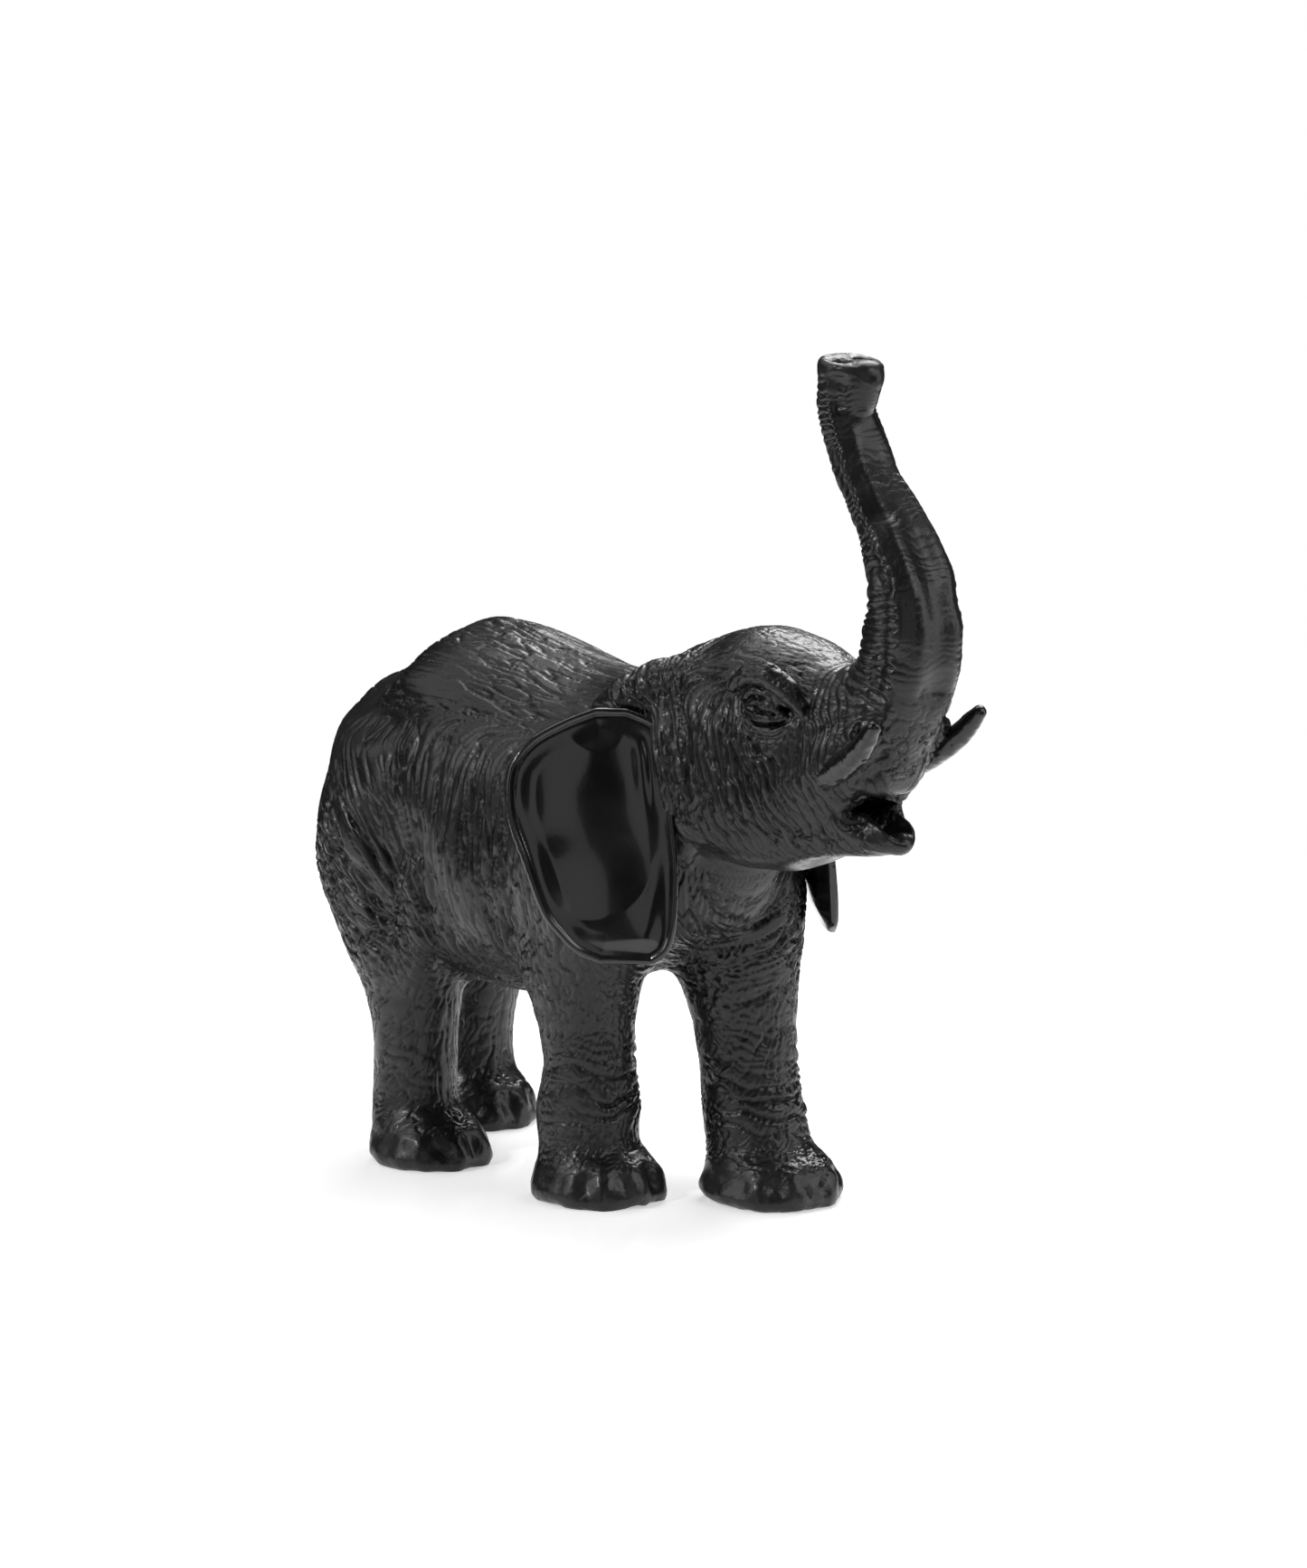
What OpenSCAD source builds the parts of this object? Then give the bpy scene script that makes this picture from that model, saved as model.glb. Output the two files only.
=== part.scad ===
// Standing elephant with a raised trunk, built up from carved blocks and dowels.
// Millimetres, +X towards the head, +Y towards the animal's left, +Z up.
// The origin lies on the surface that the four feet stand on.

/* [Leg joints] */
// Height of the flat joint between the legs and the body block
leg_joint_z = 54; // [50:1:55]
// Diameter of each leg dowel
leg_dowel_d = 8; // [6:0.5:10]
// Length of each leg dowel
leg_dowel_l = 32; // [24:1:40]

/* [Neck joint] */
// Diameter of the two neck dowels
neck_dowel_d = 8; // [6:0.5:10]
// Length of the neck dowels
neck_dowel_l = 34; // [24:1:40]
// Sideways distance between the neck dowels
neck_dowel_gap = 24; // [20:1:28]

/* [Trunk joint] */
// Diameter of the trunk dowel
trunk_dowel_d = 8; // [6:0.5:10]
// Length of the trunk dowel
trunk_dowel_l = 32; // [24:1:36]

// Diameter of the two nostrils in the tip of the trunk
nostril_d = 4; // [2:0.5:5]
// Depth of the nostrils
nostril_l = 8; // [4:1:12]

/* [Ears] */
// How much closer to the body the left ear lies, in degrees
left_ear_fold = 0; // [0:1:15]
// Thickness of the tongue that is glued into the head
ear_tongue_t = 3; // [2.4:0.2:3.4]
// Height of the tongue
ear_tongue_h = 22; // [16:1:26]
// Depth of the tongue behind the surface of the head
ear_tongue_l = 9; // [6:0.5:10]

/* [Tusks, tail and eyes] */
// Diameter of the round tenon of each tusk
tusk_tenon_d = 5; // [4:0.5:6]
// Length of the round tenon of each tusk
tusk_tenon_l = 12; // [8:1:14]
// Diameter of the round tenon of the tail
tail_tenon_d = 5; // [4:0.5:5.5]
// Length of the round tenon of the tail
tail_tenon_l = 12; // [8:1:16]
// Diameter of each eye bead
eye_d = 7; // [6:0.2:8]

/* [Fit and mesh] */
// Glue line around each dowel, tenon, tongue and bead
glue = 0.05; // [0.02:0.01:0.1]
// Sides of each lofted form
sides = 28; // [24:4:36]

/* [Hidden] */
$fn = 48;
big = 400;
// Brings the middle of the finished length over the origin
middle = [6, 0, 0];
ebony = "#26262a";
birch = "#c8a878";

// ---- Lofts ------------------------------------------------------------------------------
// A station is [x, y, z, pitch, half width, upper half height, lower half height, squareness].
// Pitch is the direction of travel in the XZ plane, in degrees above +X. The upper half lies
// on the dorsal side, so on a leg, which is lofted upwards, it is the rear half.

function blend(a, b, c, d, t) =
    0.5 * (2 * b + (c - a) * t + (2 * a - 5 * b + 4 * c - d) * t * t
           + (3 * b - a - 3 * c + d) * t * t * t);
function clamped(i, n) = min(max(i, 0), n - 1);
function between(list, u) =
    let (n = len(list), i = min(floor(u), n - 2))
    blend(list[clamped(i - 1, n)], list[i], list[i + 1], list[clamped(i + 2, n)], u - i);
function smooth(list, steps) =
    [for (i = [0 : (len(list) - 1) * steps]) between(list, i / steps)];

function power(v, e) = sign(v) * pow(abs(v), e);
function ring(s) =
    [for (i = [0 : sides - 1])
        let (t = 360 * i / sides,
             a = max(s[4], 0.3) * power(cos(t), 2 / s[7]),
             b = max(sin(t) > 0 ? s[5] : s[6], 0.3) * power(sin(t), 2 / s[7]))
        [s[0] - b * sin(s[3]), s[1] + a, s[2] + b * cos(s[3])]];

module skin(rings) {
    n = len(rings);
    m = len(rings[0]);
    walls = [for (i = [0 : n - 2], j = [0 : m - 1])
        [i * m + j, (i + 1) * m + j, (i + 1) * m + (j + 1) % m, i * m + (j + 1) % m]];
    caps = [[for (j = [0 : m - 1]) j], [for (j = [m - 1 : -1 : 0]) (n - 1) * m + j]];
    polyhedron([for (r = rings) each r], concat(walls, caps), convexity = 8);
}

module loft(stations, steps = 3) {
    skin([for (s = smooth(stations, steps)) ring(s)]);
}

// Fuses overlapping forms into one closed skin.
module fused() {
    resize([0, 0, 0]) union() children();
}

// ---- Body -------------------------------------------------------------------------------

barrel = [
    [-137, 0, 112, 0,  5,  6,  6, 2.0],
    [-134, 0, 111, 0, 17, 18, 20, 2.1],
    [-127, 0, 109, 0, 28, 33, 31, 2.2],
    [-116, 0, 107, 0, 36, 46, 39, 2.2],
    [-100, 0, 105, 0, 42, 58, 43, 2.1],
    [ -80, 0, 104, 0, 45, 66, 46, 2.0],
    [ -60, 0, 104, 0, 46, 65, 48, 2.0],
    [ -40, 0, 105, 0, 45, 60, 48, 2.0],
    [ -20, 0, 107, 0, 42, 55, 44, 2.0],
    [   0, 0, 110, 0, 39, 51, 38, 2.1],
    [  20, 0, 113, 0, 33, 42, 33, 2.1],
    [  35, 0, 115, 0, 25, 31, 26, 2.1],
    [  44, 0, 116, 0, 14, 18, 15, 2.0],
    [  47, 0, 116, 0,  4,  5,  4, 2.0]];

neck_form = [
    [-12, 0, 131, 10, 31, 31, 34, 2.0],
    [  8, 0, 135, 12, 30, 29, 36, 2.0],
    [ 28, 0, 139, 14, 29, 33, 34, 2.0],
    [ 46, 0, 143, 16, 27, 34, 30, 2.0]];

// Legs, lofted from the sole up into the body
front_left = [
    [ 31,  20,   0, 90, 18.5, 19, 19.5, 2.2],
    [ 30,  20,   3, 90, 21.5, 22, 22.5, 2.2],
    [ 27,  20,  10, 90, 18, 18.5, 19, 2.1],
    [ 24,  20,  17, 90, 16, 16.5, 17, 2.0],
    [ 21,  20,  28, 90, 15.5, 16, 16.5, 2.0],
    [ 19,  20,  42, 90, 15, 15.5, 15.5, 2.0],
    [ 17,  20,  58, 90, 16, 18, 17, 2.0],
    [ 14,  20,  70, 90, 17.5, 21, 20, 2.0],
    [ 12,  20,  86, 90, 19, 25, 24, 2.0],
    [ 10,  19, 106, 90, 20, 28, 26, 2.0],
    [  4,  17, 126, 90, 17, 24, 22, 2.0],
    [  0,  14, 140, 90, 8, 10, 9, 2.0]];
front_right = [
    [ -6, -19,   0, 90, 18, 18, 18.5, 2.2],
    [ -7, -19,   3, 90, 21, 21, 21.5, 2.2],
    [ -9, -19,  10, 90, 17.5, 17.5, 17.5, 2.1],
    [-11, -19,  17, 90, 15.5, 15.5, 15.5, 2.0],
    [-12, -19,  28, 90, 16, 16, 16.5, 2.0],
    [-11, -19,  42, 90, 14, 14, 14.5, 2.0],
    [-13, -19,  58, 90, 15.5, 16, 16.5, 2.0],
    [-13, -20,  70, 90, 17.5, 19, 20, 2.0],
    [-10, -20,  86, 90, 19.5, 24, 25, 2.0],
    [ -6, -20, 106, 90, 20, 27, 28, 2.0],
    [ -5, -18, 126, 90, 16, 23, 22, 2.0],
    [ -5, -14, 140, 90, 8, 10, 9, 2.0]];
hind_left = [
    [-116,  25,   0, 90, 17, 17.5, 17.5, 2.2],
    [-117,  25,   3, 90, 19, 19.5, 19.5, 2.2],
    [-119,  25,  10, 90, 16, 16.5, 17, 2.1],
    [-121,  25,  18, 90, 14, 14.5, 14.5, 2.0],
    [-121,  25,  30, 90, 13.5, 14, 14, 2.0],
    [-119,  25,  44, 90, 14, 15, 15.5, 2.0],
    [-115,  25,  58, 90, 15.5, 18, 19, 2.0],
    [-110,  24,  74, 90, 18, 22, 25, 2.0],
    [-105,  23,  90, 90, 19.5, 25, 28, 2.0],
    [-101,  22, 106, 90, 20, 26, 29, 2.0],
    [ -99,  21, 124, 90, 18.5, 23, 24, 2.0],
    [ -98,  19, 136, 90, 16, 20, 17, 2.2],
    [ -97,  17, 142, 90, 9, 12, 10, 2.2]];
hind_right = [
    [ -80, -25,   0, 90, 17, 17.5, 17.5, 2.2],
    [ -81, -25,   3, 90, 19, 19.5, 19.5, 2.2],
    [ -84, -25,  10, 90, 16, 16.5, 17, 2.1],
    [ -88, -25,  18, 90, 13.5, 14, 14, 2.0],
    [ -88, -25,  30, 90, 13, 13.5, 13.5, 2.0],
    [ -88, -25,  44, 90, 13.5, 14, 14, 2.0],
    [ -90, -25,  58, 90, 15.5, 18, 19, 2.0],
    [ -94, -25,  74, 90, 18.5, 24, 26, 2.0],
    [ -98, -24,  90, 90, 20, 28, 30, 2.0],
    [ -99, -23, 106, 90, 20.5, 28, 31, 2.0],
    [ -99, -21, 124, 90, 18.5, 23, 25, 2.0],
    [ -98, -19, 136, 90, 16, 20, 17, 2.2],
    [ -97, -17, 142, 90, 9, 12, 10, 2.2]];
legs = [front_left, front_right, hind_left, hind_right];

// ---- Head -------------------------------------------------------------------------------

cranium = [
    [  6, 0, 136,  5, 27, 27, 28, 2.0],
    [ 28, 0, 142,  8, 29, 33, 31, 2.1],
    [ 55, 0, 147, 12, 28, 36, 31, 2.1],
    [ 70, 0, 152, 20, 25.5, 30, 29, 2.1],
    [ 86, 0, 158, 30, 21, 22.5, 22, 2.1],
    [ 99, 0, 163, 44, 17.5, 18, 19.5, 2.1],
    [108, 0, 171, 60, 15.5, 15.5, 16, 2.1],
    [113, 0, 180, 73, 15, 14.5, 15, 2.1],
    [115, 0, 190, 86, 14, 14, 14, 2.1]];

// Thick skin that the right ear grows out of
ear_root = [
    [37, -22, 110, 90, 2, 2.5, 2.5, 2.0],
    [38, -24, 116, 90, 4.5, 5, 5, 2.0],
    [37, -25, 130, 90, 6, 7, 6.5, 2.0],
    [35, -25, 146, 90, 6, 8, 7.5, 2.0],
    [32, -22, 156, 90, 4.5, 6.5, 6, 2.0],
    [31, -19, 161, 90, 2, 3, 3, 2.0]];

cheek = [
    [ 40, 0, 132, 10, 26, 18, 16, 2.0],
    [ 62, 0, 134, 10, 24, 16, 14, 2.0],
    [ 80, 0, 137, 10, 19, 13, 10, 2.0],
    [ 92, 0, 140, 10, 14, 9, 6, 2.0],
    [ 97, 0, 141, 10, 8, 4, 3, 2.0]];

jaw = [
    [ 48, 0, 122,  5, 23, 14, 13, 2.0],
    [ 70, 0, 122,  8, 19, 13, 11, 2.0],
    [ 88, 0, 125, 12, 13.5, 9, 9, 2.0],
    [102, 0, 128, 12, 9, 6, 8, 2.0],
    [111, 0, 128,  4, 5.5, 4, 5.5, 2.0],
    [116, 0, 127.5, 0, 1, 1, 1, 2.0]];

trunk_rise = [
    [114, 0, 201, 98, 13, 12.5, 13, 2.1],
    [110, 0, 211, 112, 11.5, 11.5, 12, 2.1],
    [103.5, 0, 221.5, 122, 10.5, 10.5, 11, 2.1],
    [ 96, 0, 232, 124, 9.5, 9, 9.5, 2.1],
    [ 89.5, 0, 242, 118, 8.5, 8.2, 8.5, 2.1],
    [ 85.5, 0, 252, 101, 8.5, 8, 8.5, 2.1],
    [ 85.5, 0, 261, 88, 9.5, 8.5, 9.5, 2.1],
    [ 86.5, 0, 268, 82, 10.5, 9.5, 11, 2.1]];
trunk_line = concat([for (i = [5 : 8]) cranium[i]], trunk_rise);

tusk_line = [
    [ 88, -14, 142,  10, 5.2, 5.5, 5.5, 2.0],
    [ 98, -17, 145,  28, 4.6, 4.8, 4.8, 2.0],
    [108, -19.5, 151, 40, 3.8, 3.8, 3.8, 2.0],
    [116, -21, 158.5, 50, 2.6, 2.6, 2.6, 2.0],
    [120.5, -21.5, 164, 54, 1.2, 1.2, 1.2, 2.0],
    [121.5, -21.5, 165.5, 54, 0.3, 0.3, 0.3, 2.0]];

tail_line = [
    [-137, 0,  68, 92, 0.6, 0.6, 0.6, 2.0],
    [-137, 0,  71, 92, 2.6, 2.4, 2.4, 2.0],
    [-137.5, 0, 78, 91, 3.6, 3.2, 3.2, 2.0],
    [-138, 0,  87, 89, 2.4, 2.3, 2.3, 2.0],
    [-138, 0, 102, 86, 2.7, 2.6, 2.6, 2.0],
    [-137.5, 0, 118, 80, 3.3, 3.2, 3.2, 2.0],
    [-133, 0, 132, 62, 4.2, 4, 4, 2.0],
    [-126, 0, 140, 40, 5, 4.6, 4.6, 2.0]];

// Ear stations: [x, y, z, yaw, half chord, half thickness, curl], for the right ear
ear_line = [
    [20, -37, 158.5, 222, 8, 0.6, 0.5],
    [20.5, -37.5, 155, 222, 16, 1.4, 2],
    [19, -41, 149, 223, 21.5, 1.8, 4],
    [19, -44, 140, 224, 24.7, 2.0, 6],
    [21.5, -45.5, 126, 225, 25.2, 2.1, 7],
    [26, -45.5, 112, 226, 23.2, 2.1, 6],
    [30, -44.5, 98, 228, 19, 2.0, 4.5],
    [33.5, -43, 90, 229, 14.5, 1.9, 3],
    [36.5, -40.5, 85, 230, 9, 1.4, 1.5],
    [38.5, -39, 83, 230, 4.5, 0.6, 0.5]];

function leaf(s) =
    [for (i = [0 : sides - 1])
        let (t = -360 * i / sides,
             a = s[4] * cos(t),
             b = max(s[5], 0.3) * power(sin(t), 0.8) + s[6] * (cos(t) * cos(t) - 0.5))
        [s[0] + a * cos(s[3]) - b * sin(s[3]), s[1] + a * sin(s[3]) + b * cos(s[3]), s[2]]];

// ---- Joints -----------------------------------------------------------------------------

neck_point = [28, 0, 136];
neck_pitch = 20;
trunk_point = [111, 0, 176];
trunk_pitch = 68;
tusk_point = [92, -15.2, 143];
tusk_pitch = 18;
tusk_splay = -16;
tail_point = [-132, 0, 133];
tail_pitch = -40;
tongue_point = [44, -27, 133];
tongue_yaw = 224;
eye_point = [77.5, -20.5, 163];
nostril_point = [86.5, 0, 269];
nostril_gap = 8;
nostril_pitch = 80;

// How far tenons start inside their own piece, and bores run out past the joint
tusk_tenon_root = 4;
tusk_bore_out = 8;
tail_tenon_root = 3;
tail_bore_out = 1;

// Everything on the far side of a plane that faces along a pitch
module beyond(point, pitch) {
    translate(point) rotate([0, -pitch, 0]) translate([0, -big / 2, -big / 2]) cube(big);
}

// A round peg that starts at a point and runs along a pitch and a splay
module peg(point, pitch, splay, d, from, to) {
    translate(point) rotate([0, 0, splay]) rotate([0, 90 - pitch, 0])
        translate([0, 0, from]) cylinder(d = d, h = to - from);
}

module leg_pegs(extra = 0) {
    for (leg = legs)
        translate([leg[6][0], leg[6][1], leg_joint_z - leg_dowel_l / 2 - extra])
            cylinder(d = leg_dowel_d + 2 * extra, h = leg_dowel_l + 2 * extra);
}

module neck_pegs(extra = 0) {
    for (side = [-1, 1])
        peg(neck_point + [0, side * neck_dowel_gap / 2, 0], neck_pitch, 0,
            neck_dowel_d + 2 * extra, -neck_dowel_l / 2 - extra, neck_dowel_l / 2 + extra);
}

module trunk_peg(extra = 0) {
    peg(trunk_point, trunk_pitch, 0,
        trunk_dowel_d + 2 * extra, -trunk_dowel_l / 2 - extra, trunk_dowel_l / 2 + extra);
}

module tongue(extra = 0) {
    translate(tongue_point) rotate([0, 0, tongue_yaw - 180])
        translate([-ear_tongue_l, -ear_tongue_t / 2 - extra, -ear_tongue_h / 2 - extra])
            cube([2 * ear_tongue_l + extra, ear_tongue_t + 2 * extra, ear_tongue_h + 2 * extra]);
}

module both_sides() {
    children();
    mirror([0, 1, 0]) children();
}

// ---- Nodes ------------------------------------------------------------------------------

module body_form() {
    loft(barrel);
    loft(neck_form);
    for (leg = legs) loft(leg, 2);
}

module head_form() {
    loft(neck_form);
    loft(cranium);
    loft(cheek);
    loft(jaw);
    both_sides() loft(ear_root, 2);
}

module whole_form() {
    body_form();
    head_form();
}

module torso() {
    color(ebony) translate(middle) difference() {
        fused() difference() {
            whole_form();
            translate([-big / 2, -big / 2, leg_joint_z - big]) cube(big);
            beyond(neck_point, neck_pitch);
        }
        leg_pegs(glue);
        neck_pegs(glue);
        peg(tail_point, tail_pitch, 0, tail_tenon_d + 2 * glue, -tail_bore_out, tail_tenon_l + glue);
    }
}

module head() {
    color(ebony) translate(middle) difference() {
        fused() intersection() {
            difference() {
                whole_form();
                beyond(trunk_point, trunk_pitch);
            }
            beyond(neck_point, neck_pitch);
        }
        neck_pegs(glue);
        trunk_peg(glue);
        both_sides() {
            tongue(glue);
            peg(tusk_point, tusk_pitch, tusk_splay, tusk_tenon_d + 2 * glue,
                -tusk_tenon_l - glue, tusk_bore_out);
            translate(eye_point) sphere(d = eye_d + 2 * glue);
        }
    }
}

module trunk() {
    color(ebony) translate(middle) difference() {
        fused() intersection() {
            loft(trunk_line);
            beyond(trunk_point, trunk_pitch);
        }
        trunk_peg(glue);
        for (side = [-1, 1])
            peg(nostril_point + [0, side * nostril_gap / 2, 0], nostril_pitch, 0,
                nostril_d, -nostril_l, nostril_d);
    }
}

module leg(k) {
    color(ebony) translate(middle) difference() {
        fused() intersection() {
            loft(legs[k], 2);
            translate([-big / 2, -big / 2, 0]) cube([big, big, leg_joint_z]);
        }
        leg_pegs(glue);
    }
}

// The right ear, turned about its root
module ear(turn) {
    color(ebony) translate(middle) fused() {
        difference() {
            translate(tongue_point) rotate(turn) translate(-tongue_point)
                skin([for (s = smooth(ear_line, 2)) leaf(s)]);
            whole_form();
        }
        tongue();
    }
}

module right_ear() {
    ear(0);
}

module left_ear() {
    mirror([0, 1, 0]) ear(-left_ear_fold);
}

module right_tusk() {
    color(ebony) translate(middle) fused() {
        difference() {
            loft(tusk_line, 2);
            head_form();
        }
        peg(tusk_point, tusk_pitch, tusk_splay, tusk_tenon_d, -tusk_tenon_l, tusk_tenon_root);
    }
}

module left_tusk() {
    mirror([0, 1, 0]) right_tusk();
}

module tail() {
    color(ebony) translate(middle) fused() {
        difference() {
            loft(tail_line, 2);
            body_form();
        }
        peg(tail_point, tail_pitch, 0, tail_tenon_d, -tail_tenon_root, tail_tenon_l);
    }
}

module right_eye() {
    color(ebony) translate(middle + eye_point) sphere(d = eye_d);
}

module left_eye() {
    mirror([0, 1, 0]) right_eye();
}

module leg_dowels() {
    color(birch) translate(middle) leg_pegs();
}

module neck_dowels() {
    color(birch) translate(middle) neck_pegs();
}

module trunk_dowel() {
    color(birch) translate(middle) trunk_peg();
}

torso();
head();
trunk();
right_ear();
left_ear();
leg(0);  // front_left_leg
leg(1);  // front_right_leg
leg(2);  // hind_left_leg
leg(3);  // hind_right_leg
right_tusk();
left_tusk();
tail();
right_eye();
left_eye();
leg_dowels();
neck_dowels();
trunk_dowel();
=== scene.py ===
# Black lacquered elephant, trunk raised. Carved from the CAD blocks in a signed distance field,
# then cut back into the same pieces. Lengths are in millimetres up to make_object, in carving
# coordinates, whose origin is found from the CAD eyes: +X forward, +Y to the animal's left, +Z up.
import math

import bmesh
import bpy
import numpy as np
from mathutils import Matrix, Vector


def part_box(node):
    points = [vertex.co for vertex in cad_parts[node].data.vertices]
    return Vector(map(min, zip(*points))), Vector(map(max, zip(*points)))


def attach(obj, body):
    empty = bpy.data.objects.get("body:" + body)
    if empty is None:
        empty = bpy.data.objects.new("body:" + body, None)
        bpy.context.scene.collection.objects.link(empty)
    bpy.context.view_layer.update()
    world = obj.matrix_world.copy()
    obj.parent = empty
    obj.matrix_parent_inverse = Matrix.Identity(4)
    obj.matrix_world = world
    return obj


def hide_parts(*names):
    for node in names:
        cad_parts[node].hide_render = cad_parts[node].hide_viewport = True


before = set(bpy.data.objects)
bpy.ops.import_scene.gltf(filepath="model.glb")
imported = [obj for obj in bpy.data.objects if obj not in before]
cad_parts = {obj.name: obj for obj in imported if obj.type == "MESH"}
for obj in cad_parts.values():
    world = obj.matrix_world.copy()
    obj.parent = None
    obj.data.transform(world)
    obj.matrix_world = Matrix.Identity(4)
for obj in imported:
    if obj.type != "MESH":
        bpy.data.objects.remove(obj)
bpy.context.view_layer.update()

import openvdb
from mathutils import Vector

MM = 1000                    # millimetres in a metre
COARSER = 1.0
# Voxel sizes of the carving blocks
VOXEL = {"whole": 0.8, "body": 0.58, "skull": 0.48, "nose": 0.44, "leg": 0.52,
         "ear": 0.5, "tusk": 0.4, "eye": 0.28, "tail": 0.42}
FAR = 9.0                    # distance given to voxels that no shape has reached
LEFT_EAR_FOLD = 10           # degrees that the left ear lies closer to the body


def corner(name):
    lo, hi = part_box(name)
    return np.array(lo) * MM, np.array(hi) * MM


def middle(name):
    lo, hi = corner(name)
    return (lo + hi) / 2


# Carving coordinates: the eyes lie at (77.5, +-20.5, 163) in them.
EYE = np.array([77.5, -20.5, 163.0])
SHIFT = middle("right_eye") - EYE


def slope(degrees):
    """The direction that rises so many degrees from straight ahead."""
    return np.array([math.cos(math.radians(degrees)), 0, math.sin(math.radians(degrees))])


# The seams: the legs' level plane, and the planes of the neck and of the trunk's root.
LEG_Z = corner("torso")[0][2] - SHIFT[2]
NECK_AT, NECK_N = np.array([28.0, 0, 136]), slope(20)
TRUNK_AT, TRUNK_N = np.array([111.0, 0, 176]), slope(68)


# ---- Fields ----------------------------------------------------------------------------

def cad_mesh(name):
    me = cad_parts[name].data
    co = np.empty(len(me.vertices) * 3, np.float32)
    me.vertices.foreach_get("co", co)
    me.calc_loop_triangles()
    tri = np.empty(len(me.loop_triangles) * 3, np.int32)
    me.loop_triangles.foreach_get("vertices", tri)
    return (co.reshape(-1, 3) * MM - SHIFT).astype(np.float32), tri.reshape(-1, 3).astype(np.uint32)


class Block:
    """A box of voxels that holds a signed distance, negative inside."""

    def __init__(self, lo, hi, h):
        self.h = h
        self.i0 = np.floor(np.array(lo) / h).astype(int)
        self.n = np.ceil(np.array(hi) / h).astype(int) - self.i0 + 1
        self.f = np.full(self.n, FAR, np.float32)
        self.ax = [((np.arange(self.n[k]) + self.i0[k]) * h).astype(np.float32) for k in range(3)]

    def cut_out(self, lo, hi):
        s = []
        for k in range(3):
            a = int(np.searchsorted(self.ax[k], lo[k]))
            b = int(np.searchsorted(self.ax[k], hi[k], side="right"))
            s.append(slice(max(a - 1, 0), min(b + 1, self.n[k])))
        s = tuple(s)
        grid = (self.ax[0][s[0]][:, None, None], self.ax[1][s[1]][None, :, None],
                self.ax[2][s[2]][None, None, :])
        return s, grid

    def add(self, shape, k=2.0):
        s, g = self.cut_out(*shape.reach(k))
        if min(self.f[s].shape) > 0:
            self.f[s] = smin(self.f[s], shape.d(*g), k)

    def carve(self, shape, k=2.0):
        s, g = self.cut_out(*shape.reach(k))
        if min(self.f[s].shape) > 0:
            self.f[s] = -smin(-self.f[s], shape.d(*g), k)

    def mesh(self):
        f = self.f.copy()
        for k in range(3):
            edge = [slice(None)] * 3
            for e in (0, -1):
                edge[k] = e
                f[tuple(edge)] = np.maximum(f[tuple(edge)], 0.5)
        grid = openvdb.FloatGrid(FAR)
        grid.copyFromArray(f.astype(np.float64), ijk=tuple(int(i) for i in self.i0))
        grid.transform = openvdb.createLinearTransform(voxelSize=self.h)
        points, quads = grid.convertToQuads(isovalue=0)
        p, q = points.astype(np.float64), quads.astype(np.int64)
        if enclosed(p, q) < 0:
            q = q[:, ::-1]
        return p, q


def enclosed(p, q):
    """Volume inside a closed mesh of quads: negative where its faces point inwards."""
    a, b, c, d = (p[q[:, k]] for k in range(4))
    return ((np.cross(c - a, d - b)) * (a + b + c + d)).sum() / 24


def smin(a, b, k):
    """The smaller of two distances, with a fillet of width k."""
    if k <= 0:
        return np.minimum(a, b)
    h = np.maximum(k - np.abs(a - b), 0) / k
    return np.minimum(a, b) - h * h * k * 0.25


def blur(a, sigma, h):
    """Gaussian blur of a field with voxel size h."""
    r = max(1, int(math.ceil(2.6 * sigma / h)))
    w = np.exp(-((np.arange(-r, r + 1) * h) ** 2) / (2 * sigma * sigma))
    w = (w / w.sum()).astype(np.float32)
    for k in range(3):
        p = np.pad(a, [(r, r) if i == k else (0, 0) for i in range(3)], mode="edge")
        out = np.zeros_like(a)
        for j in range(2 * r + 1):
            s = [slice(None)] * 3
            s[k] = slice(j, j + a.shape[k])
            out += w[j] * p[tuple(s)]
        a = out
    return a


def cubic(t):
    """Weights of four neighbours for a smooth reading at t between the middle two."""
    return np.stack([
        -0.5 * t + t * t - 0.5 * t ** 3, 1 - 2.5 * t * t + 1.5 * t ** 3,
        0.5 * t + 2 * t * t - 1.5 * t ** 3, -0.5 * t * t + 0.5 * t ** 3]).astype(np.float32)


def resample(src, dst):
    """Smoothly reads one block's field at another block's voxels."""
    a = src.f
    for k in range(3):
        u = dst.ax[k] / src.h - src.i0[k]
        i = np.floor(u).astype(int)
        w = cubic(u - i)
        out = 0
        for j in range(4):
            idx = np.clip(i + j - 1, 0, src.n[k] - 1)
            shape = [1, 1, 1]
            shape[k] = -1
            out = out + np.take(a, idx, axis=k) * w[j].reshape(shape)
        a = out
    dst.f = a.astype(np.float32)


class Ball:
    """An ellipsoid: centre, three radii, turn about Z and then tilt about Y, in degrees."""

    def __init__(self, c, r, turn=0, tilt=0):
        self.c, self.r = np.array(c, float), np.array([r] * 3 if np.isscalar(r) else r, float)
        a, b = math.radians(turn), math.radians(tilt)
        rz = np.array([[math.cos(a), -math.sin(a), 0], [math.sin(a), math.cos(a), 0], [0, 0, 1]])
        ry = np.array([[math.cos(b), 0, -math.sin(b)], [0, 1, 0], [math.sin(b), 0, math.cos(b)]])
        self.m = rz @ ry

    def reach(self, k):
        e = np.sqrt(((self.m * self.r) ** 2).sum(1)) + k
        return self.c - e, self.c + e

    def d(self, x, y, z):
        q = [x - self.c[0], y - self.c[1], z - self.c[2]]
        p = [q[0] * self.m[0, j] + q[1] * self.m[1, j] + q[2] * self.m[2, j] for j in range(3)]
        k0 = np.sqrt(sum((p[j] / self.r[j]) ** 2 for j in range(3)))
        k1 = np.sqrt(sum((p[j] / self.r[j] ** 2) ** 2 for j in range(3)))
        return (k0 * (k0 - 1) / np.maximum(k1, 1e-6)).astype(np.float32)


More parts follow.
